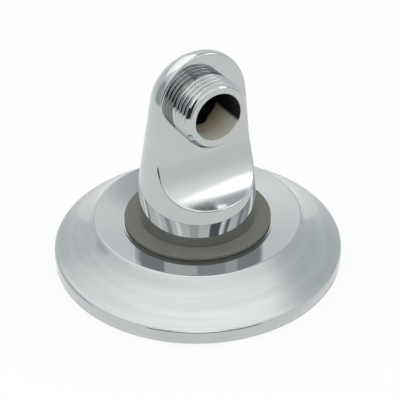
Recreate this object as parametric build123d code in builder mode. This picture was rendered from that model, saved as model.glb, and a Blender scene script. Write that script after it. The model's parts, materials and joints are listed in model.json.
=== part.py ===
"""Shower wall outlet: a chromed hose elbow on a round wall flange, with a soft washer between them.

The origin is the centre of the flange on the wall plane. +Z leaves the wall and the hose spigot
points along -Y. All sizes are in millimetres, angles in degrees.
"""

import os
from math import atan, cos, radians, sin, tan

from build123d import *

# Half inch parallel pipe thread, on the hose spigot and on the tail that screws into the wall
thread_diameter = 20.955
thread_root_diameter = 18.4
thread_lead_in = 1.3

# Wall flange: rounded rim, flared skirt, raised ridge and a dished top with a flat seat
flange_diameter = 94.0
flange_wall = 1.6
rim_land = 3.7
rim_round = 1.4
flare_angle = 24.0
ridge_diameter = 66.4
ridge_height = 14.5
ridge_round = 0.9
dish_angle = 12.5

# Soft washer between the flange and the elbow
washer_diameter = 47.4
washer_thickness = 1.4
washer_edge_round = 0.4

# Elbow: turned collar below, tapered body with a domed top above
collar_diameter = 37.2
side_crease_height = 25.0
front_crease_height = 21.6
back_crease_height = 27.5
side_taper = 6.6
back_taper = 14.5
spigot_height = 54.8

# Flat face round the spigot, with a scoop that runs out to a lip at its foot
face_offset = 4.4
scoop_radius = 15.8
lip_height = 26.4

# Hose spigot, wall tail and the waterway through both
spigot_reach = 12.7
outlet_bore_diameter = 14.5
outlet_bore_depth = 17.0
inlet_bore_diameter = 13.0
inlet_roof = 3.5
riser_diameter = 9.4
riser_wall = 2.3
tail_setback = 0.8
relief_width = 1.6
drill_point_angle = 118.0

# Clearances
tail_to_washer = 0.2
tail_to_flange = 0.3
relief_to_flange = 0.4
washer_to_dish = 0.7

# Sections through the dome, and how near to the top the last one is
dome_sections = 8
dome_last_angle = 88.0

# The dome's height for its half width, and its fullness from front to back: 2 is an ellipse, more is squarer
dome_rise = 1.1
dome_fullness = 1.7

# Sizes that follow from the ones above
thread_radius = thread_diameter / 2
thread_root_radius = thread_root_diameter / 2
flange_radius = flange_diameter / 2
ridge_radius = ridge_diameter / 2
washer_radius = washer_diameter / 2
seat_radius = washer_radius + washer_to_dish
seat_height = ridge_height - (ridge_radius - seat_radius) * tan(radians(dish_angle))
collar_radius = collar_diameter / 2
collar_bottom = seat_height + washer_thickness


def tapered(crease_height, taper, z):
    """Distance from the axis at height z of a wall that leaves the collar at its crease height."""
    return collar_radius + (crease_height - z) * tan(radians(taper))


def front_wall(z):
    """Distance of the body's front from the axis at height z."""
    return tapered(front_crease_height, side_taper, z)


def back_wall(z):
    """Distance of the body's back from the axis at height z."""
    return tapered(back_crease_height, back_taper, z)


# Seen from the front the dome is an upright ellipse about the spigot's axis, tangent to the tapered sides
side_slope = tan(radians(side_taper))
dome_start_angle = atan(dome_rise * side_slope)
dome_half_width = tapered(side_crease_height, side_taper, spigot_height) / (
    cos(dome_start_angle) + dome_rise * side_slope * sin(dome_start_angle)
)
dome_height = dome_rise * dome_half_width
dome_start = spigot_height + dome_height * sin(dome_start_angle)
body_top = spigot_height + dome_height


def body_section(z, width_share=1.0, depth_share=1.0):
    """Half width, half depth and forward shift of the body's ellipse at height z."""
    line_z = min(z, dome_start)
    half_width = tapered(side_crease_height, side_taper, line_z) * width_share
    half_depth = (front_wall(line_z) + back_wall(line_z)) / 2 * depth_share
    return half_width, half_depth, (front_wall(z) - back_wall(z)) / 2


def dome_depth(angle):
    """Depth of the dome at an angle above the spigot's axis, as a share of its depth at that axis."""
    return (1 - sin(angle) ** dome_fullness) ** (1 / dome_fullness)


def dome_heights():
    """Height of each section of the dome, with its width and depth as shares of the first section's."""
    for step in range(dome_sections + 1):
        angle = dome_start_angle + (radians(dome_last_angle) - dome_start_angle) * step / dome_sections
        width_share = cos(angle) / cos(dome_start_angle)
        depth_share = dome_depth(angle) / dome_depth(dome_start_angle)
        yield spigot_height + dome_height * sin(angle), width_share, depth_share


def drill_point(diameter):
    """Length of the cone that a drill leaves at the end of a blind hole."""
    return diameter / 2 / tan(radians(drill_point_angle / 2))


# Wall flange: the section is drawn as a filled shape below the wall plane, thinned to its wall and cut there
flange_hole_radius = thread_radius + tail_to_flange
core_radius = flange_hole_radius - 2 * flange_wall
section_foot = -2 * flange_wall

with BuildPart() as wall_flange:
    with BuildSketch(Plane.XZ) as flange_section:
        with BuildLine():
            rim = CenterArc((flange_radius - rim_round, rim_land), rim_round, 0, 90 - flare_angle)
            skirt = TangentArc(rim @ 1, (ridge_radius, ridge_height), tangent=rim % 1)
            Polyline(
                skirt @ 1,
                (seat_radius, seat_height),
                (core_radius, seat_height),
                (core_radius, section_foot),
                (flange_radius, section_foot),
                rim @ 0,
            )
        make_face()
        fillet(flange_section.vertices().sort_by(Axis.Y)[-1], ridge_round)
        offset(amount=-flange_wall, mode=Mode.SUBTRACT)
    revolve(axis=Axis.Z)
    split(bisect_by=Plane.XY, keep=Keep.TOP)
    Hole(flange_hole_radius)

# Soft washer
with BuildPart() as sealing_washer:
    with BuildSketch(Plane.XY.offset(seat_height)):
        Circle(washer_radius)
        Circle(thread_radius + tail_to_washer, mode=Mode.SUBTRACT)
    extrude(amount=washer_thickness)
    outer_edges = sealing_washer.edges().filter_by(GeomType.CIRCLE).sort_by(SortBy.RADIUS)[-2:]
    fillet(outer_edges, washer_edge_round)

# Elbow
with BuildPart() as outlet_elbow:
    # Tapered body, straight from the foot of the collar to the dome
    for z in (collar_bottom, dome_start):
        half_width, half_depth, forward = body_section(z)
        with BuildSketch(Plane.XY.offset(z)):
            with Locations((0, -forward)):
                Ellipse(half_width, half_depth)
    loft(ruled=True)

    # Domed top
    for z, width_share, depth_share in dome_heights():
        half_width, half_depth, forward = body_section(z, width_share, depth_share)
        with BuildSketch(Plane.XY.offset(z)):
            with Locations((0, -forward)):
                Ellipse(half_width, half_depth)
    loft()

    # Turned collar: nothing stands outside its cylinder, which leaves the crease where the taper begins
    with BuildSketch(Plane.XY.offset(collar_bottom)):
        Circle(collar_radius)
    extrude(amount=body_top, mode=Mode.INTERSECT)

    # Flat face and the scoop at its foot
    with BuildSketch(Plane.YZ):
        with BuildLine():
            scoop = TangentArc(
                (-face_offset, lip_height + scoop_radius),
                (-face_offset - scoop_radius, lip_height),
                tangent=(0, -1),
            )
            Polyline(
                scoop @ 1,
                (-2 * collar_radius, lip_height),
                (-2 * collar_radius, 2 * body_top),
                (-face_offset, 2 * body_top),
                scoop @ 0,
            )
        make_face()
    extrude(amount=2 * collar_radius, both=True, mode=Mode.SUBTRACT)

    # Hose spigot with its lead-in chamfer
    with BuildSketch(Plane.YZ):
        with BuildLine():
            Polyline(
                (0, spigot_height),
                (-spigot_reach, spigot_height),
                (-spigot_reach, spigot_height + thread_root_radius),
                (-spigot_reach + thread_lead_in, spigot_height + thread_radius),
                (0, spigot_height + thread_radius),
                close=True,
            )
        make_face()
    spigot_axis = Axis((0, 0, spigot_height), (0, 1, 0))
    revolve(axis=spigot_axis)

    # Wall tail: a plain register through the washer and the flange, a thread relief, then the thread
    relief_top = seat_height - flange_wall - relief_to_flange
    relief_bottom = relief_top - relief_width
    with BuildSketch(Plane.XZ):
        with BuildLine():
            Polyline(
                (0, collar_bottom),
                (0, tail_setback),
                (thread_root_radius, tail_setback),
                (thread_radius, tail_setback + thread_lead_in),
                (thread_radius, relief_bottom),
                (thread_root_radius, relief_bottom),
                (thread_root_radius, relief_top),
                (thread_radius, relief_top),
                (thread_radius, collar_bottom),
                close=True,
            )
        make_face()
    revolve(axis=Axis.Z)

    # Waterway: a blind bore in from the spigot and one up from the tail, joined by a riser behind the face
    outlet_bore_radius = outlet_bore_diameter / 2
    bore_end = outlet_bore_depth - spigot_reach
    with BuildSketch(Plane.YZ):
        with BuildLine():
            Polyline(
                (-2 * spigot_reach, spigot_height),
                (-2 * spigot_reach, spigot_height + outlet_bore_radius),
                (bore_end, spigot_height + outlet_bore_radius),
                (bore_end + drill_point(outlet_bore_diameter), spigot_height),
                close=True,
            )
        make_face()
    revolve(axis=spigot_axis, mode=Mode.SUBTRACT)
    inlet_bore_top = lip_height - inlet_roof
    with BuildSketch(Plane.XY):
        Circle(inlet_bore_diameter / 2)
    extrude(amount=inlet_bore_top, mode=Mode.SUBTRACT)
    with BuildSketch(Plane.XY.offset(inlet_bore_top)):
        with Locations((0, riser_diameter / 2 + riser_wall - face_offset)):
            Circle(riser_diameter / 2)
    extrude(amount=spigot_height - inlet_bore_top, mode=Mode.SUBTRACT)

wall_flange.part.label = "wall_flange"
sealing_washer.part.label = "sealing_washer"
outlet_elbow.part.label = "outlet_elbow"

os.makedirs("parts", exist_ok=True)
export_step(wall_flange.part, "parts/wall_flange.step")
export_step(sealing_washer.part, "parts/sealing_washer.step")
export_step(outlet_elbow.part, "parts/outlet_elbow.step")
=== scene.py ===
"""Looks of a chromed shower wall outlet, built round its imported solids.

Lengths are in millimetres, in the frame of the solids: the origin is the centre of the flange on the
wall plane, +Z leaves the wall and the hose spigot points along -Y. Meshes are made in metres.
"""

import json
import math

import bpy
import numpy as np
from mathutils import Matrix, Vector


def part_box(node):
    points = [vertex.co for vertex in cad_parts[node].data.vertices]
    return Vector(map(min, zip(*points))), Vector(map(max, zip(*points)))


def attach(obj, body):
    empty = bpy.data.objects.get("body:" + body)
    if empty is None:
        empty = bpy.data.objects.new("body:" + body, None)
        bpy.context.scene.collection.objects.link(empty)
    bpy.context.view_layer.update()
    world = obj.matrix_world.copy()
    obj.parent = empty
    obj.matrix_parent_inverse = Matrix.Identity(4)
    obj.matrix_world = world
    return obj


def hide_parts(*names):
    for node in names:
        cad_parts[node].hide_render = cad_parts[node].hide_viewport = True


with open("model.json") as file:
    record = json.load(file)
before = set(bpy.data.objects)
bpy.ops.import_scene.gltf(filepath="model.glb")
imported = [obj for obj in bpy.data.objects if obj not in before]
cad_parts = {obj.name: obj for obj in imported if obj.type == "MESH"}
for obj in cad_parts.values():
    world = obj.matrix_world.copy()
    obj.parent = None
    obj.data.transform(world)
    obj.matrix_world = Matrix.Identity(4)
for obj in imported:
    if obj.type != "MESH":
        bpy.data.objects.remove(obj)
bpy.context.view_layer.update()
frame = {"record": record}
MM = 0.001
MOUNTS = {mount["name"]: mount for mount in frame["record"]["mounts"]}


def box_mm(node):
    """Lowest and highest corner of a node."""
    return [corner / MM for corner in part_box(node)]


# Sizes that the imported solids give
WASHER_LOW, WASHER_HIGH = box_mm("sealing_washer")
ELBOW_LOW, ELBOW_HIGH = box_mm("outlet_elbow")
FLANGE_RADIUS = box_mm("wall_flange")[1].x
WASHER_RADIUS = WASHER_HIGH.x
COLLAR_RADIUS = ELBOW_HIGH.x
SEAT_HEIGHT = WASHER_LOW.z
COLLAR_BOTTOM = WASHER_HIGH.z
TAIL_END = ELBOW_LOW.z
THREAD_RADIUS = MOUNTS["hose_thread"]["dims"]["r_mm"]
SPIGOT_HEIGHT = MOUNTS["hose_thread"]["pos_m"][2] / MM
OUTLET_BORE_RADIUS = MOUNTS["outlet_bore"]["dims"]["r_mm"]
INLET_BORE_RADIUS = MOUNTS["inlet_bore"]["dims"]["r_mm"]
INLET_BORE_TOP = TAIL_END + MOUNTS["inlet_bore"]["dims"]["length_mm"]

# Pipe thread, with the standard's flank angle and the same round on its crests and roots
THREAD_PITCH = 1.814
THREAD_DEPTH = 0.640327 * THREAD_PITCH
THREAD_ROUND = 0.137329 * THREAD_PITCH
THREAD_FLANK = math.radians(27.5)
THREAD_END_RADIUS = 9.2
THREAD_LEAD_IN = 1.3

# Flange
FLANGE_WALL = 1.6
RIM_LAND = 3.7
RIM_ROUND = 1.4
FLARE_ANGLE = math.radians(24)
RIDGE_RADIUS = 33.2
RIDGE_HEIGHT = 14.5
RIDGE_ROUND = 0.9
DISH_ANGLE = math.radians(12.5)
SEAT_MARGIN = 0.7
TAIL_TO_FLANGE = 0.3

# Washer
WASHER_EDGE_ROUND = 0.4
TAIL_TO_WASHER = 0.2

# Elbow body
SIDE_CREASE = 25.0
FRONT_CREASE = 21.6
BACK_CREASE = 27.5
SIDE_TAPER = math.radians(6.6)
BACK_TAPER = math.radians(14.5)
DOME_RISE = 1.1
DOME_FULLNESS = 1.7
FACE_OFFSET = 4.4
SCOOP_RADIUS = 15.8
LIP_HEIGHT = 26.4
SPIGOT_REACH = 12.7
OUTLET_BORE_DEPTH = 17.0
DRILL_POINT = math.radians(118)
RISER_RADIUS = 4.7
RISER_WALL = 2.3
RISER_OVERLAP = 0.05
RELIEF_WIDTH = 1.6
RELIEF_TO_FLANGE = 0.4

# Softness of edges, and the smallest cosine of a column to the front's edge that the soft edge allows for
BODY_EDGE = 0.5
MOUTH_EDGE = 0.4
BORE_EDGE = 0.3
FOOT_EDGE = 0.3
SMALL_EDGE = 0.15
CREASE_SOFTNESS = 0.12
LEAST_FACING = 0.5

# Mesh density: columns round each piece, then points along its outlines
ELBOW_COLUMNS = 256
FINE_COLUMNS = 8 * ELBOW_COLUMNS
LATHE_COLUMNS = 256
RISER_COLUMNS = 64
FLOOR_COLUMNS = 128
ARC_STEPS = 6
RIM_POINTS = 14
SKIRT_POINTS = 40
INNER_SKIRT_POINTS = 60
RIDGE_POINTS = 6
BORE_WALL_POINTS = 14
HOSE_THREAD_STEPS = 24
TAIL_THREAD_STEPS = 10
FRONT_POINTS = 26
BODY_POINTS = 84
COLLAR_POINTS = 14

# Close rows: at the spigot's root, as shares of the way to the edge, and on each side of the crease
ROOT_SHARES = (0.004, 0.02)
FRONT_START = 0.05
CREASE_GAPS = (1.0, 0.6, 0.35, 0.18, 0.06)

# Smallest rings at the drilled point and under the inlet bore's roof, and where the tail's thread begins
POINT_RING = 0.3
ROOF_RING = 0.5
TAIL_THREAD_START = 0.05

# Rows at the bore's mouth that are chromed like the outside
CHROMED_MOUTH_ROWS = 3

# Centre of the fan of the body's columns, in front of the top, as a share of the way down to the foot
FAN_CENTRE = 0.35

# The front's edge is looked for from the thread's radius out to this many times it
EDGE_SEARCH = 4

# Halvings that find where a column crosses an edge
HALVINGS = 60


def smooth_mesh(name, rows, materials, row_materials=None, closed=False):
    """Mesh from rows of points, each a ring or one point that closes an end. A closed one joins its ends."""
    points = np.concatenate(rows) * MM
    starts = np.cumsum([0] + [len(row) for row in rows])
    faces, slots = [], []
    for index in range(len(rows) if closed else len(rows) - 1):
        after = (index + 1) % len(rows)
        count = max(len(rows[index]), len(rows[after]))
        here, there = starts[index], starts[after]
        for column in range(count):
            beside = (column + 1) % count
            if len(rows[index]) == 1:
                face = (here, there + beside, there + column)
            elif len(rows[after]) == 1:
                face = (here + column, here + beside, there)
            else:
                face = (here + column, here + beside, there + beside, there + column)
            faces.append(face)
            slots.append(row_materials[index] if row_materials else 0)
    mesh = bpy.data.meshes.new(name)
    mesh.from_pydata(points.tolist(), [], faces)
    mesh.polygons.foreach_set("use_smooth", [True] * len(faces))
    mesh.polygons.foreach_set("material_index", slots)
    for material in materials:
        mesh.materials.append(material)
    mesh.update()
    piece = bpy.data.objects.new(name, mesh)
    bpy.context.scene.collection.objects.link(piece)
    return piece


def unit(vectors):
    """Vectors of length one."""
    return vectors / np.linalg.norm(vectors, axis=-1, keepdims=True)


def rounded(corners):
    """Outline through corners (a, b, radius), with an arc of that radius in place of each corner."""
    points = [np.array(corners[0][:2], float)]
    for before, corner, after in zip(corners, corners[1:], corners[2:]):
        here = np.array(corner[:2], float)
        if corner[2] == 0:
            points.append(here)
            continue
        inward = unit(np.array(before[:2], float) - here)
        onward = unit(np.array(after[:2], float) - here)
        half_angle = math.acos(np.clip(inward @ onward, -1, 1)) / 2
        reach = corner[2] / math.tan(half_angle)
        centre = here + unit(inward + onward) * corner[2] / math.sin(half_angle)
        first, last = here + inward * reach - centre, here + onward * reach - centre
        turn = math.pi - 2 * half_angle
        for share in np.linspace(0, 1, ARC_STEPS + 1):
            weights = math.sin((1 - share) * turn), math.sin(share * turn)
            points.append(centre + (first * weights[0] + last * weights[1]) / math.sin(turn))
    points.append(np.array(corners[-1][:2], float))
    return np.array(points)


def arc(centre, radius, start, end, count):
    """Points on an arc, with angles in radians."""
    angles = np.linspace(start, end, count)
    return np.stack([centre[0] + radius * np.cos(angles), centre[1] + radius * np.sin(angles)], axis=1)


def lathe(outline, angles):
    """Rings of points about the Z axis, one for each (radius, height) of an outline."""
    circle = np.stack([np.cos(angles), np.sin(angles)], axis=1)
    return [np.column_stack([circle * radius, np.full(len(angles), height)]) for radius, height in outline]


def ring_angles(count):
    """Angles of a full ring."""
    return np.arange(count) * 2 * math.pi / count


def first_beyond(low, high, is_beyond):
    """Value between low and high, for each column, at which is_beyond turns true."""
    for _ in range(HALVINGS):
        middle = (low + high) / 2
        beyond = is_beyond(middle)
        low, high = np.where(beyond, low, middle), np.where(beyond, middle, high)
    return low


# Flange


def skirt_arc():
    """Rim's centre, then the foot, centre and radius of the skirt's arc, which runs from rim to ridge."""
    rim_angle = math.pi / 2 - FLARE_ANGLE
    rim_centre = np.array([FLANGE_RADIUS - RIM_ROUND, RIM_LAND])
    outward = np.array([math.cos(rim_angle), math.sin(rim_angle)])
    foot = rim_centre + RIM_ROUND * outward
    chord = np.array([RIDGE_RADIUS, RIDGE_HEIGHT]) - foot
    radius = (chord @ chord) / (2 * chord @ outward)
    return rim_centre, foot, foot + outward * radius, radius


def flange_outline():
    """Closed section of the flange: outer side from the rim's foot to the hole, then the inner side back."""
    rim_centre, foot, centre, radius = skirt_arc()
    rim = arc(rim_centre, RIM_ROUND, 0, math.pi / 2 - FLARE_ANGLE, RIM_POINTS)
    start = math.atan2(*(foot - centre)[::-1])
    end = math.atan2(*(np.array([RIDGE_RADIUS, RIDGE_HEIGHT]) - centre)[::-1])
    skirt = arc(centre, radius, start, end, SKIRT_POINTS)[1:]
    seat_radius = WASHER_RADIUS + SEAT_MARGIN
    hole = THREAD_RADIUS + TAIL_TO_FLANGE
    top_corners = [
        (*skirt[-RIDGE_POINTS], 0),
        (RIDGE_RADIUS, RIDGE_HEIGHT, RIDGE_ROUND),
        (seat_radius, SEAT_HEIGHT, SMALL_EDGE),
        (hole, SEAT_HEIGHT, SMALL_EDGE),
        (hole, SEAT_HEIGHT - FLANGE_WALL, SMALL_EDGE),
        (seat_radius, SEAT_HEIGHT - FLANGE_WALL, 0),
    ]
    top = rounded(top_corners)
    outer = np.concatenate([[(FLANGE_RADIUS, SMALL_EDGE)], rim, skirt[:-RIDGE_POINTS], top])

    # The inner side lies one wall below the dish and the skirt
    slope = math.tan(DISH_ANGLE)
    drop = FLANGE_WALL / math.cos(DISH_ANGLE)
    inner_skirt = arc(centre, radius + FLANGE_WALL, start, end, INNER_SKIRT_POINTS)[::-1]
    dish_there = RIDGE_HEIGHT - (RIDGE_RADIUS - inner_skirt[:, 0]) * slope - drop
    inner_radius = FLANGE_RADIUS - FLANGE_WALL
    inner_skirt = inner_skirt[(inner_skirt[:, 1] < dish_there) & (inner_skirt[:, 0] < inner_radius)]
    corner = centre[1] - math.sqrt((radius + FLANGE_WALL) ** 2 - (inner_radius - centre[0]) ** 2)
    inner_rim = [
        (inner_radius, corner),
        (inner_radius, SMALL_EDGE),
        (inner_radius + SMALL_EDGE, 0),
        (FLANGE_RADIUS - SMALL_EDGE, 0),
    ]
    return np.concatenate([outer, inner_skirt, inner_rim])


def make_flange(chrome):
    """Wall flange, a hollow turned shell."""
    rows = lathe(flange_outline(), ring_angles(LATHE_COLUMNS))
    return smooth_mesh("flange_shell", rows, [chrome], closed=True)


# Washer


def make_washer(rubber):
    """Soft washer with rounded outer edges."""
    hole = THREAD_RADIUS + TAIL_TO_WASHER
    middle = (SEAT_HEIGHT + COLLAR_BOTTOM) / 2
    corners = [
        (WASHER_RADIUS, middle, 0),
        (WASHER_RADIUS, COLLAR_BOTTOM, WASHER_EDGE_ROUND),
        (hole, COLLAR_BOTTOM, SMALL_EDGE),
        (hole, SEAT_HEIGHT, SMALL_EDGE),
        (WASHER_RADIUS, SEAT_HEIGHT, WASHER_EDGE_ROUND),
        (WASHER_RADIUS, middle, 0),
    ]
    rows = lathe(rounded(corners)[:-1], ring_angles(LATHE_COLUMNS))
    return smooth_mesh("washer_ring", rows, [rubber], closed=True)


# Elbow: the skin of the body


def tapered(crease, taper, z):
    """Distance from the axis, at height z, of a wall that leaves the collar at its crease."""
    return COLLAR_RADIUS + (crease - z) * math.tan(taper)


def front_wall(z):
    """Distance of the body's front from the axis at height z."""
    return tapered(FRONT_CREASE, SIDE_TAPER, z)


def back_wall(z):
    """Distance of the body's back from the axis at height z."""
    return tapered(BACK_CREASE, BACK_TAPER, z)


# The dome, seen from the front, is an upright ellipse about the spigot's axis, tangent to the tapered sides
SIDE_SLOPE = math.tan(SIDE_TAPER)
DOME_START_ANGLE = math.atan(DOME_RISE * SIDE_SLOPE)
DOME_FIRST_RISE = math.sin(DOME_START_ANGLE)
DOME_HEIGHT = (
    DOME_RISE
    * tapered(SIDE_CREASE, SIDE_TAPER, SPIGOT_HEIGHT)
    / (math.cos(DOME_START_ANGLE) + DOME_RISE * SIDE_SLOPE * DOME_FIRST_RISE)
)
DOME_START = SPIGOT_HEIGHT + DOME_HEIGHT * DOME_FIRST_RISE
BODY_TOP = SPIGOT_HEIGHT + DOME_HEIGHT
DOME_FALL = DOME_HEIGHT * (math.pi / 2 - DOME_START_ANGLE)


def dome_depth(rise):
    """Depth of the dome at a height above the spigot's axis, both as shares of their largest value."""
    return np.power(1 - np.power(rise, DOME_FULLNESS), 1 / DOME_FULLNESS)


def body_section(z):
    """Half width, half depth and forward shift of the body's ellipse at each height."""
    line_z = np.minimum(z, DOME_START)
    rise = np.clip((z - SPIGOT_HEIGHT) / DOME_HEIGHT, DOME_FIRST_RISE, 1 - 1e-12)
    half_width = tapered(SIDE_CREASE, SIDE_TAPER, line_z) * np.sqrt(1 - rise**2) / math.cos(DOME_START_ANGLE)
    half_depth = (front_wall(line_z) + back_wall(line_z)) / 2 * dome_depth(rise) / dome_depth(DOME_FIRST_RISE)
    return half_width, half_depth, (front_wall(z) - back_wall(z)) / 2


def fall_at(z):
    """Way from the top down the side of the body to each height."""
    rise = np.clip((z - SPIGOT_HEIGHT) / DOME_HEIGHT, -1, 1)
    below = DOME_FALL + (DOME_START - z) / math.cos(SIDE_TAPER)
    return np.where(z > DOME_START, DOME_HEIGHT * np.arccos(rise), below)


def height_at(fall):
    """Height at each way down from the top: the reverse of fall_at."""
    dome = SPIGOT_HEIGHT + DOME_HEIGHT * np.cos(fall / DOME_HEIGHT)
    below = DOME_START - (fall - DOME_FALL) * math.cos(SIDE_TAPER)
    return np.where(fall < DOME_FALL, dome, below)


def skin(plan):
    """Points of the body's skin. A plan point's distance from its origin is the way down from the top."""
    fall = np.maximum(np.linalg.norm(plan, axis=-1), 1e-6)
    cosine, sine = plan[..., 0] / fall, plan[..., 1] / fall
    z = height_at(fall)
    half_width, half_depth, forward = body_section(z)
    body = 1 / np.hypot(cosine / half_width, sine / half_depth)
    shift = sine * forward
    collar = shift + np.sqrt(COLLAR_RADIUS**2 - forward**2 + shift**2)
    nearer = np.minimum(body, collar)
    reach = nearer - CREASE_SOFTNESS * np.log1p(np.exp(-np.abs(body - collar) / CREASE_SOFTNESS))
    return np.stack([reach * cosine, reach * sine - forward, z], axis=-1)


def plan_of(points):
    """Plan point of each point that lies on the skin."""
    forward = body_section(points[..., 2])[2]
    direction = np.stack([points[..., 0], points[..., 1] + forward], axis=-1)
    return unit(direction) * fall_at(points[..., 2])[..., None]


def outside(points):
    """Above zero for a point outside the body, below zero inside."""
    half_width, half_depth, forward = body_section(points[..., 2])
    x, y, z = np.moveaxis(points, -1, 0)
    body = np.hypot(x / half_width, (y + forward) / half_depth) - 1
    collar = np.hypot(x, y) / COLLAR_RADIUS - 1
    return np.where(z < BODY_TOP, np.maximum(body, collar), 1.0)


# Elbow: the flat face and the scoop, unrolled about the spigot's centre

SCOOP_START = SPIGOT_HEIGHT - LIP_HEIGHT - SCOOP_RADIUS
SCOOP_END = SCOOP_START + SCOOP_RADIUS * math.pi / 2


def front(x, down):
    """Points of the face, the scoop and the lip, by their place when these are unrolled flat."""
    angle = np.clip((down - SCOOP_START) / SCOOP_RADIUS, 0, math.pi / 2)
    past_lip = np.maximum(down - SCOOP_END, 0)
    y = -FACE_OFFSET - SCOOP_RADIUS * (1 - np.cos(angle)) - past_lip
    z = SPIGOT_HEIGHT - np.minimum(down, SCOOP_START) - SCOOP_RADIUS * np.sin(angle)
    return np.stack([x, y, z], axis=-1)


def front_at(angles, reach):
    """Points of the front at a distance from the spigot's axis, measured along the surface."""
    return front(reach * np.cos(angles), reach * np.sin(angles))


def edge_reach(angles):
    """Distance from the spigot's axis to the edge of the front, along the surface."""
    nearest = np.full(len(angles), THREAD_RADIUS)
    return first_beyond(nearest, EDGE_SEARCH * nearest, lambda reach: outside(front_at(angles, reach)) > 0)


def column_angles():
    """Angles round the spigot that space the elbow's columns evenly along the edge of the front."""
    fine = math.pi / 2 + ring_angles(FINE_COLUMNS)
    edge = front_at(fine, edge_reach(fine))
    lengths = np.linalg.norm(np.roll(edge, -1, axis=0) - edge, axis=1)
    way = np.concatenate([[0], np.cumsum(lengths)])
    wanted = np.arange(ELBOW_COLUMNS) * way[-1] / ELBOW_COLUMNS
    return np.interp(wanted, way, np.append(fine, math.pi / 2 + 2 * math.pi))


def gradient(points, step=1e-4):
    """Outward direction of the body's skin near each point."""
    sides = [outside(points + axis * step) - outside(points - axis * step) for axis in np.eye(3)]
    return unit(np.stack(sides, axis=-1))


def thread_profile(along, turn, length):
    """Radius of the thread at a distance from its inner end, with turn counted in whole turns."""
    from_crest = THREAD_PITCH * np.abs(np.mod(along / THREAD_PITCH + turn, 1) - 0.5)
    from_root = THREAD_PITCH / 2 - from_crest
    touch = THREAD_ROUND * math.cos(THREAD_FLANK)
    crest = THREAD_ROUND - np.sqrt(np.maximum(THREAD_ROUND**2 - from_crest**2, 0))
    root = THREAD_DEPTH - THREAD_ROUND + np.sqrt(np.maximum(THREAD_ROUND**2 - from_root**2, 0))
    flank = THREAD_ROUND * (1 - math.sin(THREAD_FLANK)) + (from_crest - touch) / math.tan(THREAD_FLANK)
    depth = np.where(from_crest < touch, crest, np.where(from_root < touch, root, flank))
    lead_in = THREAD_END_RADIUS + (length - along) * (THREAD_RADIUS - THREAD_END_RADIUS) / THREAD_LEAD_IN
    return np.minimum(THREAD_RADIUS - depth, lead_in)


def spigot_ring(angles, radius, y):
    """Ring about the spigot's axis."""
    radius = np.broadcast_to(radius, angles.shape)
    columns = [radius * np.cos(angles), np.full(len(angles), y), SPIGOT_HEIGHT - radius * np.sin(angles)]
    return np.stack(columns, axis=-1)


def bore_rows(angles):
    """Blind bore from its drilled point out to the end of the spigot."""
    bore_end = OUTLET_BORE_DEPTH - SPIGOT_REACH
    point = bore_end + OUTLET_BORE_RADIUS / math.tan(DRILL_POINT / 2)
    corners = [
        (POINT_RING, point - POINT_RING / math.tan(DRILL_POINT / 2), 0),
        (OUTLET_BORE_RADIUS, bore_end, BORE_EDGE),
        (OUTLET_BORE_RADIUS, -SPIGOT_REACH, MOUTH_EDGE),
        (THREAD_END_RADIUS - SMALL_EDGE, -SPIGOT_REACH, 0),
    ]
    outline = rounded(corners)
    wall = np.linspace(outline[ARC_STEPS + 1], outline[ARC_STEPS + 2], BORE_WALL_POINTS)[1:-1]
    outline = np.concatenate([outline[: ARC_STEPS + 2], wall, outline[ARC_STEPS + 2 :]])
    tip = np.array([[0.0, point, SPIGOT_HEIGHT]])
    return [tip] + [spigot_ring(angles, radius, y) for radius, y in outline]


def thread_rows(angles):
    """Threaded outside of the spigot, from its end back to the face."""
    length = SPIGOT_REACH - FACE_OFFSET
    along = np.linspace(length, 0, round(length / THREAD_PITCH * HOSE_THREAD_STEPS))
    turn = angles / (2 * math.pi)
    return [spigot_ring(angles, thread_profile(a, turn, length), -FACE_OFFSET - a) for a in along]


def front_rows(angles, inner, outer):
    """Face, scoop and lip, from the spigot's root out to the soft edge."""
    shares = [*ROOT_SHARES, *np.linspace(FRONT_START, 1, FRONT_POINTS)]
    return [front_at(angles, inner + (outer - inner) * share) for share in shares]


def body_rows(start):
    """Skin of the body from the soft edge of the front, past the crease, to the foot of the collar."""
    foot = fall_at(np.array(COLLAR_BOTTOM + FOOT_EDGE))
    centre = np.array([0, -FAN_CENTRE * foot])
    heading = unit(start - centre)
    along = np.sum(heading * centre, axis=1)
    rim = centre + heading * (-along + np.sqrt(along**2 - centre @ centre + foot**2))[:, None]

    def on_collar(share):
        """True where the tapered body, at a share of each column's way, would stand outside the collar."""
        plan = start + (rim - start) * share[:, None]
        half_width, half_depth, forward = body_section(height_at(np.linalg.norm(plan, axis=1)))
        cosine, sine = unit(plan).T
        body = 1 / np.hypot(cosine / half_width, sine / half_depth)
        return np.hypot(body * cosine, body * sine - forward) > COLLAR_RADIUS

    crease = first_beyond(np.zeros(len(start)), np.ones(len(start)), on_collar)
    gaps = [gap / np.linalg.norm(rim - start, axis=1) for gap in CREASE_GAPS]
    upper = [(crease - gaps[0]) * share for share in np.linspace(0, 1, BODY_POINTS)[1:]]
    near = [crease - gap for gap in gaps[1:]] + [crease + gap for gap in gaps[::-1]]
    collar = crease + gaps[0]
    lower = [collar + (1 - collar) * share for share in np.linspace(0, 1, COLLAR_POINTS)[1:]]
    return [skin(start + (rim - start) * share[:, None]) for share in upper + near + lower]


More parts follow.
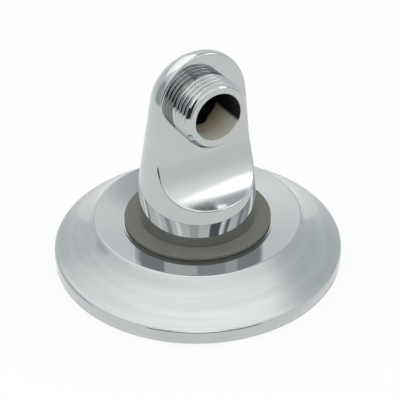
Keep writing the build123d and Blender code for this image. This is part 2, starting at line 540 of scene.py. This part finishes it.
def tail_rows(azimuths):
    """Foot of the collar, then the wall tail down to its end and up inside its bore."""
    relief_top = SEAT_HEIGHT - FLANGE_WALL - RELIEF_TO_FLANGE
    relief_bottom = relief_top - RELIEF_WIDTH
    thread_length = relief_bottom - TAIL_END
    shoulder = [
        (COLLAR_RADIUS, COLLAR_BOTTOM + 2 * FOOT_EDGE, 0),
        (COLLAR_RADIUS, COLLAR_BOTTOM, FOOT_EDGE),
        (THREAD_RADIUS, COLLAR_BOTTOM, SMALL_EDGE),
        (THREAD_RADIUS, relief_top, SMALL_EDGE),
        (THREAD_END_RADIUS, relief_top, SMALL_EDGE),
        (THREAD_END_RADIUS, relief_bottom, 0),
    ]
    rows = lathe(rounded(shoulder)[2:], azimuths)
    turn = azimuths / (2 * math.pi)
    circle = np.stack([np.cos(azimuths), np.sin(azimuths)], axis=1)
    thread_points = round(thread_length / THREAD_PITCH * TAIL_THREAD_STEPS)
    for along in np.linspace(TAIL_THREAD_START, thread_length, thread_points):
        radius = thread_profile(along, turn, thread_length)
        height = np.full(len(azimuths), relief_bottom - along)
        rows.append(np.column_stack([circle * radius[:, None], height]))
    mouth = [
        (THREAD_END_RADIUS - SMALL_EDGE, TAIL_END, 0),
        (INLET_BORE_RADIUS, TAIL_END, BORE_EDGE),
        (INLET_BORE_RADIUS, INLET_BORE_TOP, BORE_EDGE),
        (ROOF_RING, INLET_BORE_TOP, 0),
    ]
    return rows + lathe(rounded(mouth), azimuths) + [np.array([[0.0, 0.0, INLET_BORE_TOP]])]


def edge_rows(angles, reach):
    """Soft edge from front to skin: where it leaves the front, its rows, and where it meets the skin."""
    flat = np.stack([reach * np.cos(angles), reach * np.sin(angles)], axis=1)
    along = unit(np.roll(flat, -1, axis=0) - np.roll(flat, 1, axis=0))
    outward = np.stack([along[:, 1], -along[:, 0]], axis=1)
    facing = np.abs(np.sum(unit(flat) * outward, axis=1))
    inner_reach = reach - BODY_EDGE / np.maximum(facing, LEAST_FACING)
    edge = front_at(angles, reach)
    tangent = unit(np.roll(edge, -1, axis=0) - np.roll(edge, 1, axis=0))
    away = unit(np.cross(gradient(edge), tangent))
    on_skin = plan_of(edge + away * BODY_EDGE)
    first, last = front_at(angles, inner_reach), skin(on_skin)
    rows = [
        first * (1 - share) ** 2 + edge * 2 * share * (1 - share) + last * share**2
        for share in np.linspace(0, 1, ARC_STEPS + 2)[1:]
    ]
    return inner_reach, rows, on_skin


def cut_riser(elbow, materials):
    """Cut the riser behind the face, which joins the two bores. Its wall takes the second material."""
    centre = np.array([0, RISER_RADIUS + RISER_WALL - FACE_OFFSET, 0])
    low, high = INLET_BORE_TOP - RISER_OVERLAP, SPIGOT_HEIGHT
    outline = [(RISER_RADIUS, low), (RISER_RADIUS, high)]
    walls = [ring + centre for ring in lathe(outline, ring_angles(RISER_COLUMNS))]
    ends = [centre[None] + [0, 0, low], centre[None] + [0, 0, high]]
    cutter = smooth_mesh("riser", [ends[0], *walls, ends[1]], materials, [1, 1, 1])
    cut = elbow.modifiers.new("riser", "BOOLEAN")
    cut.operation = "DIFFERENCE"
    cut.solver = "EXACT"
    cut.object = cutter
    solid = elbow.evaluated_get(bpy.context.evaluated_depsgraph_get())
    mesh = bpy.data.meshes.new_from_object(solid)
    elbow.modifiers.clear()
    elbow.data = mesh
    mesh.name = elbow.name
    bpy.data.objects.remove(cutter)


def make_elbow(chrome, brass):
    """Elbow as one skin, from the inside of the spigot over the body to the inside of the tail."""
    angles = column_angles()
    bore = bore_rows(angles)
    thread = thread_rows(angles)
    inner_reach, edge, on_skin = edge_rows(angles, edge_reach(angles))
    root = np.linalg.norm(thread[-1][:, [0, 2]] - [0, SPIGOT_HEIGHT], axis=1)
    face = front_rows(angles, root, inner_reach)
    body = body_rows(on_skin)
    azimuths = np.arctan2(body[-1][:, 1], body[-1][:, 0])
    tail = tail_rows(azimuths)
    rows = bore + thread + face + edge + body + tail
    brass_rows = len(bore) - CHROMED_MOUTH_ROWS
    slots = [1] * brass_rows + [0] * (len(rows) - brass_rows)
    elbow = smooth_mesh("elbow_body", rows, [chrome, brass], slots)
    cut_riser(elbow, [chrome, brass])
    return elbow


# Materials


def add_node(tree, kind, inputs=None, **settings):
    """Node of a kind, with its settings. Each input is given a value or linked to another node's output."""
    node = tree.nodes.new(kind)
    for name, value in settings.items():
        setattr(node, name, value)
    for name, value in (inputs or {}).items():
        if isinstance(value, bpy.types.NodeSocket):
            tree.links.new(value, node.inputs[name])
        else:
            node.inputs[name].default_value = value
    return node


def math_node(tree, operation, first, second=0.0, third=0.0):
    """Result of a sum on up to three numbers."""
    return add_node(tree, "ShaderNodeMath", {0: first, 1: second, 2: third}, operation=operation).outputs[0]


def vector_node(tree, operation, *vectors, output=0):
    """Result of a sum on vectors."""
    node = add_node(tree, "ShaderNodeVectorMath", dict(enumerate(vectors)), operation=operation)
    return node.outputs[output]


def map_range(tree, value, from_low, from_high, to_low, to_high, smooth=False):
    """Value carried from one range to another, without going past its ends."""
    ranges = {
        "Value": value,
        "From Min": from_low,
        "From Max": from_high,
        "To Min": to_low,
        "To Max": to_high,
    }
    kind = "SMOOTHSTEP" if smooth else "LINEAR"
    return add_node(tree, "ShaderNodeMapRange", ranges, interpolation_type=kind).outputs["Result"]


def toward_value(tree, share, value, target):
    """Number between a value and a target."""
    step = math_node(tree, "SUBTRACT", target, value)
    return math_node(tree, "ADD", value, math_node(tree, "MULTIPLY", share, step))


# Range in which most of a noise's values lie, and the detail of turning marks
NOISE_RANGE = (0.3, 0.7)
TURNING_DETAIL = 2.0


def noise(tree, vector, scale, detail):
    """Soft noise in space."""
    inputs = {"Vector": vector, "Scale": scale, "Detail": detail}
    return add_node(tree, "ShaderNodeTexNoise", inputs).outputs["Fac"]


def turning_marks(tree, distance, scale):
    """Noise along one distance, as fine turning marks have it."""
    inputs = {"W": distance, "Scale": scale, "Detail": TURNING_DETAIL}
    return add_node(tree, "ShaderNodeTexNoise", inputs, noise_dimensions="1D").outputs["Fac"]


def spread(tree, value, low, high):
    """Noise spread over another range."""
    return map_range(tree, value, *NOISE_RANGE, low, high)


def bump(tree, height, depth):
    """Normal of a relief, with its depth in metres."""
    inputs = {"Height": height, "Distance": depth, "Strength": 1.0}
    return add_node(tree, "ShaderNodeBump", inputs).outputs["Normal"]


def blend(tree, share, first, second):
    """Colour between two colours."""
    inputs = {"Factor": share, "A": first, "B": second}
    node = add_node(tree, "ShaderNodeMix", data_type="RGBA")
    for socket in node.inputs:
        if socket.enabled and socket.name in inputs:
            value = inputs[socket.name]
            if isinstance(value, bpy.types.NodeSocket):
                tree.links.new(value, socket)
            else:
                socket.default_value = value if socket.name == "Factor" else (*value, 1)
    return next(socket for socket in node.outputs if socket.enabled)


def new_material(name, metallic):
    """Material with its node tree, its shader and the place on the object."""
    material = bpy.data.materials.new(name)
    material.use_nodes = True
    tree = material.node_tree
    shader = tree.nodes["Principled BSDF"]
    shader.inputs["Metallic"].default_value = metallic
    place = add_node(tree, "ShaderNodeTexCoord").outputs["Object"]
    return material, tree, shader, place


def finish_shader(tree, shader, colour, roughness, normal):
    """Link a shader's colour, roughness and normal."""
    for name, socket in (("Base Color", colour), ("Roughness", roughness), ("Normal", normal)):
        tree.links.new(socket, shader.inputs[name])


# Spun chrome of the flange. Noise: scale and detail. Relief: scale and depth in metres.
STREAK_LIGHT = (0.59, 0.608, 0.612)
STREAK_DARK = (0.522, 0.539, 0.545)
STREAK_NOISE = (520, 5.0)
STREAK_TURN = 0.003
STREAK_FADE = 2.0
SPUN_ROUGHNESS = (0.1, 0.05)
SPUN_RELIEF = (700, 8e-6)


def spun_chrome():
    """Chrome on the spun flange, with faint streaks round the skirt and the fine rings left by polishing."""
    material, tree, shader, place = new_material("spun_chrome", 1.0)
    flat = vector_node(tree, "MULTIPLY", place, (1, 1, 0))
    radius = vector_node(tree, "LENGTH", flat, output="Value")
    around = vector_node(tree, "NORMALIZE", flat)
    lift = add_node(tree, "ShaderNodeCombineXYZ", {"Z": radius}).outputs[0]
    streak = noise(tree, vector_node(tree, "MULTIPLY_ADD", around, (STREAK_TURN,) * 3, lift), *STREAK_NOISE)
    on_skirt = map_range(tree, radius, RIDGE_RADIUS * MM, (RIDGE_RADIUS + STREAK_FADE) * MM, 0, 1)
    streak = toward_value(tree, on_skirt, sum(NOISE_RANGE) / 2, streak)
    colour = blend(tree, spread(tree, streak, 0, 1), STREAK_DARK, STREAK_LIGHT)
    scale, depth = SPUN_RELIEF
    normal = bump(tree, turning_marks(tree, radius, scale), depth)
    finish_shader(tree, shader, colour, spread(tree, streak, *SPUN_ROUGHNESS), normal)
    return material


# Cast chrome of the elbow, and how softly the scoop's roughness fades at the lip, at its top and at the face
CHROME_LIGHT = (0.57, 0.585, 0.585)
CHROME_DARK = (0.54, 0.556, 0.558)
HAZE_NOISE = (90, 3.0)
CAST_ROUGHNESS = (0.02, 0.05)
SCOOP_ROUGHNESS = 0.2
LIP_FADE = 1.0
SCOOP_TOP_FADE = 2.0
FACE_FADE = 1.0
WAVE_NOISE = (110, 1.0)
WAVE_DEPTH = 1.5e-5


def cast_chrome():
    """Chrome on the polished casting, a little wavy, and less smooth in the scoop."""
    material, tree, shader, place = new_material("cast_chrome", 1.0)
    haze = noise(tree, place, *HAZE_NOISE)
    colour = blend(tree, spread(tree, haze, 0, 1), CHROME_DARK, CHROME_LIGHT)
    axes = add_node(tree, "ShaderNodeSeparateXYZ", {0: place}).outputs
    scoop_top = LIP_HEIGHT + SCOOP_RADIUS
    above_lip = map_range(tree, axes["Z"], LIP_HEIGHT * MM, (LIP_HEIGHT + LIP_FADE) * MM, 0, 1)
    below_face = map_range(tree, axes["Z"], (scoop_top - SCOOP_TOP_FADE) * MM, scoop_top * MM, 1, 0)
    in_front = map_range(tree, axes["Y"], -(FACE_OFFSET + FACE_FADE) * MM, -FACE_OFFSET * MM, 1, 0)
    in_scoop = math_node(tree, "MULTIPLY", math_node(tree, "MULTIPLY", above_lip, below_face), in_front)
    roughness = toward_value(tree, in_scoop, spread(tree, haze, *CAST_ROUGHNESS), SCOOP_ROUGHNESS)
    finish_shader(tree, shader, colour, roughness, bump(tree, noise(tree, place, *WAVE_NOISE), WAVE_DEPTH))
    return material


# Bore, by depth from its mouth and by height below its axis
BORE_METALLIC = 0.15
PLATED_DEPTH = 6.4
PLATING_LINE = 0.3
LINE_SHARE = 0.8
# Painted shade: from this depth on, the wall is painted near-black, as the far end of the bore gets almost no
# light
DEEP_SHADE_DEPTH = 12.3
DEEP_SHADE_FADE = 0.5
# Painted shade: the wall is painted near-black down to this height below the axis, so that only the lit lower
# wall keeps its colour
LIT_WALL_BELOW = 3.0
LIT_WALL_FADE = (-0.8, 0.4)
RAGGED_EDGE = 0.3
BORE_NOISE = (260, 4.0)
BORE_ROUGHNESS = (0.45, 0.6)
BORE_RELIEF = (1800, 1.5e-5)
PLATED_COLOUR = (0.54, 0.53, 0.46)
BRASS_COLOUR = (0.60, 0.52, 0.39)
LINE_COLOUR = (0.66, 0.34, 0.14)
# Painted shade: the near-black that stands in for the unlit parts of the bore
PAINTED_SHADE_COLOUR = (0.012, 0.012, 0.015)


def bore_brass():
    """Drilled bore: thin plating near the mouth, bare brass behind it, and painted shade: near-black far in
    and on all but the lower wall, where little light reaches.
    """
    material, tree, shader, place = new_material("bore_brass", BORE_METALLIC)
    axes = add_node(tree, "ShaderNodeSeparateXYZ", {0: place}).outputs
    depth = math_node(tree, "MULTIPLY_ADD", axes["Y"], 1 / MM, SPIGOT_REACH)
    below = math_node(tree, "MULTIPLY_ADD", axes["Z"], -1 / MM, SPIGOT_HEIGHT)
    cloud = noise(tree, place, *BORE_NOISE)
    ragged = math_node(tree, "ADD", depth, spread(tree, cloud, -RAGGED_EDGE, RAGGED_EDGE))
    bare = map_range(tree, ragged, PLATED_DEPTH - PLATING_LINE, PLATED_DEPTH + PLATING_LINE, 0, 1)
    colour = blend(tree, bare, PLATED_COLOUR, BRASS_COLOUR)
    off_line = math_node(tree, "ABSOLUTE", math_node(tree, "SUBTRACT", ragged, PLATED_DEPTH))
    colour = blend(tree, map_range(tree, off_line, 0, PLATING_LINE, LINE_SHARE, 0), colour, LINE_COLOUR)
    # Painted shade far in the bore, past the depth where light stops reaching
    painted_deep_shade = map_range(tree, ragged, DEEP_SHADE_DEPTH - DEEP_SHADE_FADE, DEEP_SHADE_DEPTH + DEEP_SHADE_FADE, 0, 1, smooth=True)
    heights = [LIT_WALL_BELOW + fade for fade in LIT_WALL_FADE]
    # Painted shade on the upper wall, which stays unlit; the wall well below the axis is left as lit
    painted_overhead_shade = map_range(tree, below, *heights, 1, 0, smooth=True)
    colour = blend(tree, math_node(tree, "MAXIMUM", painted_deep_shade, painted_overhead_shade), colour, PAINTED_SHADE_COLOUR)
    scale, relief = BORE_RELIEF
    normal = bump(tree, turning_marks(tree, axes["Y"], scale), relief)
    finish_shader(tree, shader, colour, spread(tree, cloud, *BORE_ROUGHNESS), normal)
    return material


# Rubber of the washer
RUBBER_DARK = (0.132, 0.132, 0.115)
RUBBER_LIGHT = (0.16, 0.159, 0.138)
RUBBER_NOISE = (130, 4.0)
RUBBER_ROUGHNESS = (0.42, 0.56)
GRAIN_NOISE = (1900, 2.0)
GRAIN_DEPTH = 2.5e-5


def soft_rubber():
    """Moulded rubber, satin, with a fine grain."""
    material, tree, shader, place = new_material("soft_rubber", 0.0)
    cloud = noise(tree, place, *RUBBER_NOISE)
    colour = blend(tree, spread(tree, cloud, 0, 1), RUBBER_DARK, RUBBER_LIGHT)
    normal = bump(tree, noise(tree, place, *GRAIN_NOISE), GRAIN_DEPTH)
    finish_shader(tree, shader, colour, spread(tree, cloud, *RUBBER_ROUGHNESS), normal)
    return material


PIECES = [
    (make_flange(spun_chrome()), "wall_flange", "flange_chrome"),
    (make_washer(soft_rubber()), "sealing_washer", "washer_rubber"),
    (make_elbow(cast_chrome(), bore_brass()), "outlet_elbow", "elbow_chrome"),
]
for piece, node, slot in PIECES:
    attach(piece, "root")
    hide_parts(node)


# Camera

CAMERA_AZIMUTH = math.radians(-29.94)
CAMERA_ELEVATION = math.radians(37.39)
CAMERA_DISTANCE = 306.9
CAMERA_ROLL = math.radians(-0.68)
CAMERA_LENS = 83.0
CAMERA_SHIFT = (0.0052, 0.1164)
CAMERA_CLIP = 10.0


def add_camera():
    """Camera at the photograph's viewing angle, aimed at the foot of the part."""
    flat = math.cos(CAMERA_ELEVATION)
    back = Vector(
        (math.sin(CAMERA_AZIMUTH) * flat, -math.cos(CAMERA_AZIMUTH) * flat, math.sin(CAMERA_ELEVATION))
    )
    right = Vector((0, 0, 1)).cross(back).normalized()
    up = back.cross(right)
    rolled_right = right * math.cos(CAMERA_ROLL) + up * math.sin(CAMERA_ROLL)
    rolled_up = up * math.cos(CAMERA_ROLL) - right * math.sin(CAMERA_ROLL)
    data = bpy.data.cameras.new("camera")
    data.lens = CAMERA_LENS
    data.shift_x, data.shift_y = CAMERA_SHIFT
    data.clip_start = CAMERA_CLIP * MM
    camera = bpy.data.objects.new("camera", data)
    bpy.context.scene.collection.objects.link(camera)
    turn = Matrix((rolled_right, rolled_up, back)).transposed()
    camera.matrix_world = Matrix.Translation(back * CAMERA_DISTANCE * MM) @ turn.to_4x4()
    bpy.context.scene.camera = camera


add_camera()


# Studio, with its lengths in metres

AMBIENT = 0.8
FLOOR_RADIUS = 0.25
FLOOR_GAP = 0.0002
FLOOR_COLOUR = (0.9, 0.9, 0.9, 1)
FLOOR_WHITE = 1.02
FLOOR_MIRRORED = 0.9
FLOOR_WHITE_SHARE = 0.8

# Lamps: place, size and energy, and whether mirror surfaces show them
KEY_LAMP = ((-0.35, -0.55, 0.85), 0.5, 3.0, False)
SCOOP_LAMP = ((0.065, -0.037, 0.132), 0.042, 0.0085, True)
DOME_LAMP = ((-0.053, 0.379, 0.381), 0.42, 0.32, True)

# Light tent that mirror surfaces see: brightness up to one height of the direction and from another on
TENT_LOW = 0.86
TENT_HIGH = 1.32
TENT_HEIGHTS = (0.45, 0.95)

# Soft fields in the tent: azimuth from -Y towards +X, elevation, inner and outer angle, brightness
SOFT_FIELDS = [
    (95, 25, 12, 45, 0.7),
    (-165, 8, 10, 25, 0.78),
    (-129, 0, 17, 25, 0.5),
    (-29, 31, 10, 20, 1.45),
    (127, 57, 10, 24, 0.62),
]

# Dark gap in front, between the floor and the tent
GAP_AZIMUTH = -26
GAP_WIDTH = (36, 42)
GAP_HEIGHT = (12, 15)
GAP_BRIGHTNESS = 0.03

# Upright panels that show only in mirrored mirrors, the high ones on the collar and the low ones in the dish:
# azimuth, half width, brightness
HIGH_PANELS = [
    (-165, 4, 1.75),
    (-156, 4, 0.6),
    (-121, 5, 1.45),
    (-96, 6, 0.7),
    (-72, 5, 1.7),
    (-38, 10, 0.9),
    (9, 12, 0.22),
    (24, 3, 1.6),
    (37, 5, 0.34),
    (72, 5, 0.5),
    (112, 8, 1.6),
]
LOW_PANELS = [
    (-127, 34, 0.5),
    (-61, 29, 0.98),
    (-6, 26, 0.66),
    (82, 38, 0.55),
]
PANEL_EDGE = 1.0

# Elevations up to which the low panels are whole and from which the high ones are
PANEL_SPLIT = (28, 40)

# The ray depth in the world is 2 after one mirror and 3 after two
MIRRORED_DEPTH = 2.5

# Colour of the tent's dark parts, and the brightness at which it is full and at which it is gone
TENT_SHADE = (0.82, 0.95, 1.0)
TENT_SHADE_RANGE = (0.3, 1)


def towards(azimuth, elevation):
    """Direction at an azimuth and an elevation in degrees."""
    around, above = math.radians(azimuth), math.radians(elevation)
    return Vector(
        (math.sin(around) * math.cos(above), -math.cos(around) * math.cos(above), math.sin(above))
    )


def near_direction(tree, heading, direction, inner, outer):
    """Mask that is 1 within an inner angle of a direction and 0 beyond an outer one."""
    cosine = vector_node(tree, "DOT_PRODUCT", heading, direction, output="Value")
    edges = math.cos(math.radians(outer)), math.cos(math.radians(inner))
    return map_range(tree, cosine, *edges, 0, 1, smooth=True)


def sines(angles):
    """Heights of directions at some elevations in degrees."""
    return [math.sin(math.radians(angle)) for angle in angles]


def studio_field(tree):
    """Brightness that mirrors see in each direction: a tent with soft fields, panels and a dark gap."""
    heading = add_node(tree, "ShaderNodeTexCoord").outputs["Generated"]
    height = add_node(tree, "ShaderNodeSeparateXYZ", {0: heading}).outputs["Z"]
    field = map_range(tree, height, *TENT_HEIGHTS, TENT_LOW, TENT_HIGH)
    for azimuth, elevation, inner, outer, brightness in SOFT_FIELDS:
        mask = near_direction(tree, heading, towards(azimuth, elevation), inner, outer)
        field = toward_value(tree, mask, field, brightness)
    level = vector_node(tree, "NORMALIZE", vector_node(tree, "MULTIPLY", heading, (1, 1, 0)))
    depth = add_node(tree, "ShaderNodeLightPath").outputs["Ray Depth"]
    mirrored = math_node(tree, "GREATER_THAN", depth, MIRRORED_DEPTH)
    high = map_range(tree, height, *sines(PANEL_SPLIT), 0, 1)
    low = math_node(tree, "SUBTRACT", 1.0, high)
    for panels, at_height in ((HIGH_PANELS, high), (LOW_PANELS, low)):
        shown = math_node(tree, "MULTIPLY", mirrored, at_height)
        for azimuth, half_width, brightness in panels:
            edges = half_width - PANEL_EDGE, half_width + PANEL_EDGE
            mask = near_direction(tree, level, towards(azimuth, 0), *edges)
            field = toward_value(tree, math_node(tree, "MULTIPLY", mask, shown), field, brightness)
    in_width = near_direction(tree, level, towards(GAP_AZIMUTH, 0), *GAP_WIDTH)
    in_height = map_range(tree, math_node(tree, "ABSOLUTE", height), *sines(GAP_HEIGHT), 1, 0, smooth=True)
    return toward_value(tree, math_node(tree, "MULTIPLY", in_width, in_height), field, GAP_BRIGHTNESS)


def is_ray(tree, first, *others):
    """1 for rays of the named kinds and 0 for the rest."""
    path = add_node(tree, "ShaderNodeLightPath").outputs
    seen = path[first]
    for name in others:
        seen = math_node(tree, "MAXIMUM", seen, path[name])
    return seen


def add_world():
    """White surroundings for the camera, the studio for mirror surfaces and even light for the rest."""
    world = bpy.data.worlds.new("studio")
    bpy.context.scene.world = world
    world.use_nodes = True
    tree = world.node_tree
    field = studio_field(tree)
    strength = toward_value(tree, is_ray(tree, "Is Glossy Ray"), AMBIENT, field)
    seen = is_ray(tree, "Is Camera Ray", "Is Transmission Ray")
    strength = toward_value(tree, seen, strength, 1.0)
    paleness = math_node(tree, "MAXIMUM", seen, map_range(tree, field, *TENT_SHADE_RANGE, 0, 1))
    background = tree.nodes["Background"]
    tree.links.new(blend(tree, paleness, TENT_SHADE, (1, 1, 1)), background.inputs["Color"])
    tree.links.new(strength, background.inputs["Strength"])


def add_floor():
    """Pale round floor, mostly white to the camera and to mirror surfaces, that keeps the part's shadow."""
    rim = lathe([(FLOOR_RADIUS, -FLOOR_GAP)], ring_angles(FLOOR_COLUMNS))[0]
    mesh = bpy.data.meshes.new("floor")
    mesh.from_pydata(rim.tolist(), [], [list(range(FLOOR_COLUMNS))])
    material = bpy.data.materials.new("pale_floor")
    material.use_nodes = True
    tree = material.node_tree
    tree.nodes.remove(tree.nodes["Principled BSDF"])
    plain = add_node(tree, "ShaderNodeBsdfDiffuse", {"Color": FLOOR_COLOUR})
    level = toward_value(tree, is_ray(tree, "Is Glossy Ray"), FLOOR_WHITE, FLOOR_MIRRORED)
    white = add_node(tree, "ShaderNodeEmission", {"Strength": level})
    seen = is_ray(tree, "Is Camera Ray", "Is Glossy Ray", "Is Transmission Ray")
    share = math_node(tree, "MULTIPLY", seen, FLOOR_WHITE_SHARE)
    mix = add_node(tree, "ShaderNodeMixShader", {0: share, 1: plain.outputs[0], 2: white.outputs[0]})
    tree.links.new(mix.outputs[0], tree.nodes["Material Output"].inputs["Surface"])
    mesh.materials.append(material)
    floor = bpy.data.objects.new("floor", mesh)
    bpy.context.scene.collection.objects.link(floor)


def add_lamp(name, place, size, energy, mirrored):
    """Square soft lamp aimed at the part. One that mirror surfaces show lights the elbow alone."""
    data = bpy.data.lights.new(name, "AREA")
    data.energy = energy
    data.size = size
    lamp = bpy.data.objects.new(name, data)
    lamp.location = place
    lamp.rotation_euler = Vector(place).to_track_quat("Z", "Y").to_euler()
    lamp.visible_glossy = mirrored
    lamp.visible_camera = False
    bpy.context.scene.collection.objects.link(lamp)
    if mirrored:
        lit = bpy.data.collections.new(name + "_lights")
        lit.objects.link(bpy.data.objects["elbow_body"])
        lamp.light_linking.receiver_collection = lit


add_world()
add_floor()
add_lamp("key_lamp", *KEY_LAMP)
add_lamp("scoop_lamp", *SCOOP_LAMP)
add_lamp("dome_lamp", *DOME_LAMP)
bpy.context.scene.view_settings.view_transform = "Standard"
